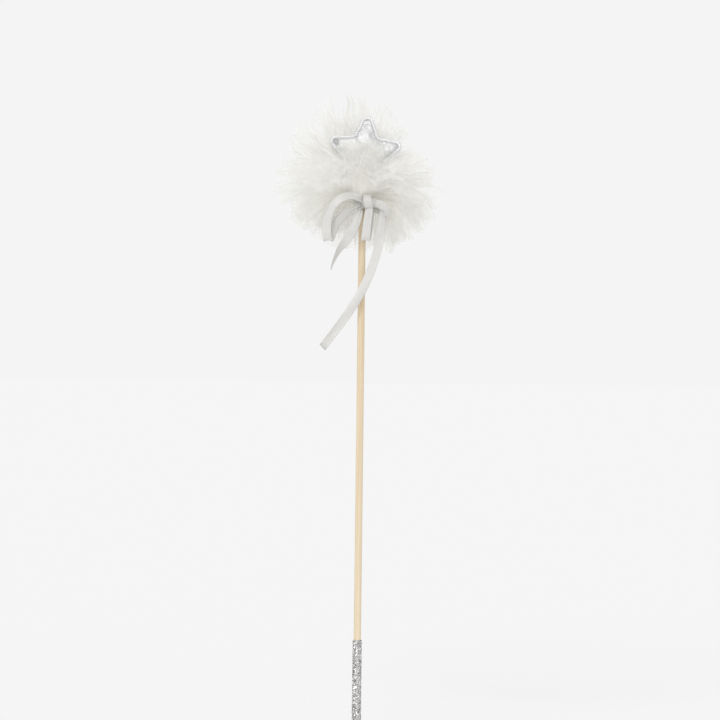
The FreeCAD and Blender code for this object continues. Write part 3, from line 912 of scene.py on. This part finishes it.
LOOP_FRONT = [((5.5, -9.8, 336), (1, 0, 0.1)), ((4.6, -11.6, 330.5), (1, 0, 0.15)),
              ((3.2, -11.9, 320), (1, 0.05, 0.2)), ((2.3, -11.4, 310.6), (1, 0, 0.12)),
              ((2.3, -8.6, 309.2), (1, 0, 0.05)), ((3.2, -6.6, 312.4), (1, 0, 0)),
              ((4.6, -6.9, 323), (1, 0, -0.1)), ((5.5, -8.2, 334), (1, 0, 0))]
# the tails' first points are the hinge points at the knot
TAIL_LONG = [((13.3, -12.4, 330.5), (0.95, 0.3, 0.1)), ((12.9, -12.4, 317.5), (0.8, 0.6, 0.1)),
             ((11.0, -11.2, 303.5), (0.85, -0.5, -0.15)), ((3.2, -8.4, 280.5), (0.93, 0.25, -0.3)),
             ((-10.2, -8.8, 257.6), (0.80, 0.35, -0.5)), ((-26.0, -10.6, 237.2), (0.72, 0.42, -0.55))]
TAIL_SHORT = [((-1.5, -12.4, 330.5), (1, 0.2, 0.1)), ((-4.4, -12.7, 319.0), (0.95, 0.3, -0.1)),
              ((-10.6, -12.4, 309.2), (0.75, 0.3, -0.55)), ((-16.8, -11.6, 302.0), (0.3, 0.9, -0.4)),
              ((-20.6, -10.8, 291.2), (0.05, 1, -0.2))]


def make_tail(name, route, body, node, material, end_slant):
    piece, path = ribbon(name, route, material, ends=(0, end_slant), pinched=(1, 0))
    settle(piece, body, "satin", node)


def make_knot(material):
    """The tied centre: a puckered lump of satin, which the turn of ribbon from make_wrap goes over."""
    low, high = Vector(KNOT[0]), Vector(KNOT[1])
    centre = (low + high) / 2
    centre.y = low.y + 3.6 * MM
    half = Vector(((high.x - low.x) / 2 * 0.92, 3.5 * MM, (high.z - low.z) / 2 * 0.98))
    rows, columns = 48, 72
    vertices, uvs = [], []
    for row in range(rows):
        polar = math.pi * row / (rows - 1)
        for column in range(columns):
            angle = 2 * math.pi * column / columns
            way = Vector((math.sin(polar) * math.cos(angle), math.sin(polar) * math.sin(angle), math.cos(polar)))
            fold = math.sin(way.x * 7.5 + way.z * 3.2 + 1.5 * noise.noise(way * 1.8))
            pinch = 1 - 0.12 * abs(fold) + 0.07 * noise.noise(way * 3.1)
            boxy = 1 / max(abs(way.x), abs(way.y), abs(way.z)) ** 0.45
            spot = Vector((way.x * half.x, way.y * half.y, way.z * half.z)) * pinch * boxy * 0.93
            vertices.append(centre + spot)
            uvs.append((way.z * 5 * MM, way.x * 2.2 * MM))
    core = new_object("ribbon_knot_satin", vertices, grid_faces(rows, columns, wrap=True), material, uvs)
    settle(core, "wand", "satin", "ribbon_knot")
    return core


def make_wrap(material):
    """The turn of ribbon over the knot, down its front and back behind it."""
    route = [((2.8, -6.0, 334), SIDE), ((2.4, -7.0, 340.2), SIDE), ((2.8, -11.2, 340.4), (1, 0, 0.1)),
             ((3.6, -13.5, 336.2), (1, 0, 0.25)), ((4.6, -12.5, 331.4), (1, 0, 0.2)), ((4.8, -8.0, 330.6), SIDE),
             ((4.6, -5.6, 333.5), SIDE)]
    piece, path = ribbon("ribbon_knot_wrap", route, material, width=5.6 * MM)
    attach(piece, "wand")


def make_band(material):
    """One turn of ribbon round the neck, a little rucked."""
    low, high = Vector(BAND[0]), Vector(BAND[1])
    radius = (high.x - low.x) / 2 - 0.25 * MM
    columns, rows = 96, 11
    vertices, uvs = [], []
    for row in range(rows):
        share = row / (rows - 1)
        for column in range(columns):
            angle = 2 * math.pi * column / columns
            ruck = 0.16 * MM * math.sin(share * 14 + math.sin(angle * 3) * 1.2)
            out = radius + ruck
            tuck = 0.5 * MM * math.sin(angle + 0.8) * (1 - share)
            vertices.append((out * math.cos(angle), out * math.sin(angle), low.z + tuck + (high.z - low.z) * share))
            uvs.append((radius * angle, (share - 0.5) * RIBBON_WIDTH))
    band = new_object("ribbon_band_satin", vertices, grid_faces(rows, columns, wrap=True), material, uvs)
    thicken(band, RIBBON_THICKNESS)
    return settle(band, "wand", "satin", "ribbon_band")


def make_bow(material):
    make_tail("ribbon_tail_long_satin", TAIL_LONG, "tail_long", "ribbon_tail_long", material, 0.15)
    make_tail("ribbon_tail_short_satin", TAIL_SHORT, "tail_short", "ribbon_tail_short", material, 0.6)
    make_knot(material)
    make_wrap(material)
    make_band(material)
    for name, route in (("left", LOOP_LEFT), ("right", LOOP_RIGHT), ("front", LOOP_FRONT)):
        piece, path = ribbon(f"ribbon_loop_{name}_satin", route, material, pinched=(1, 1))
        settle(piece, "wand", "satin", f"ribbon_loop_{name}")


def dress_hidden(node, material):
    """A CAD part that keeps its shape and gets this material."""
    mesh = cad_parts[node].data
    mesh.materials.clear()
    mesh.materials.append(material)


def main():
    make_camera()
    satin = satin_material()
    make_bow(satin)
    make_light()
    make_floor()
    make_stick(birch_material())
    make_grip(glitter_material())
    filling = plain_fibre_material("filling", (0.78, 0.78, 0.78), (0.90, 0.90, 0.90), 900.0, 0.9)
    make_star(foil_material(), metal_thread_material(), filling)
    dress_hidden("star_glue", plain_fibre_material("glue", (0.72, 0.68, 0.56), (0.80, 0.77, 0.68), 500.0, 0.35))
    make_tulle(tulle_material())
    make_thread(plain_fibre_material("thread", (0.78, 0.78, 0.76), (0.88, 0.88, 0.86), 2500.0, 0.7))


main()
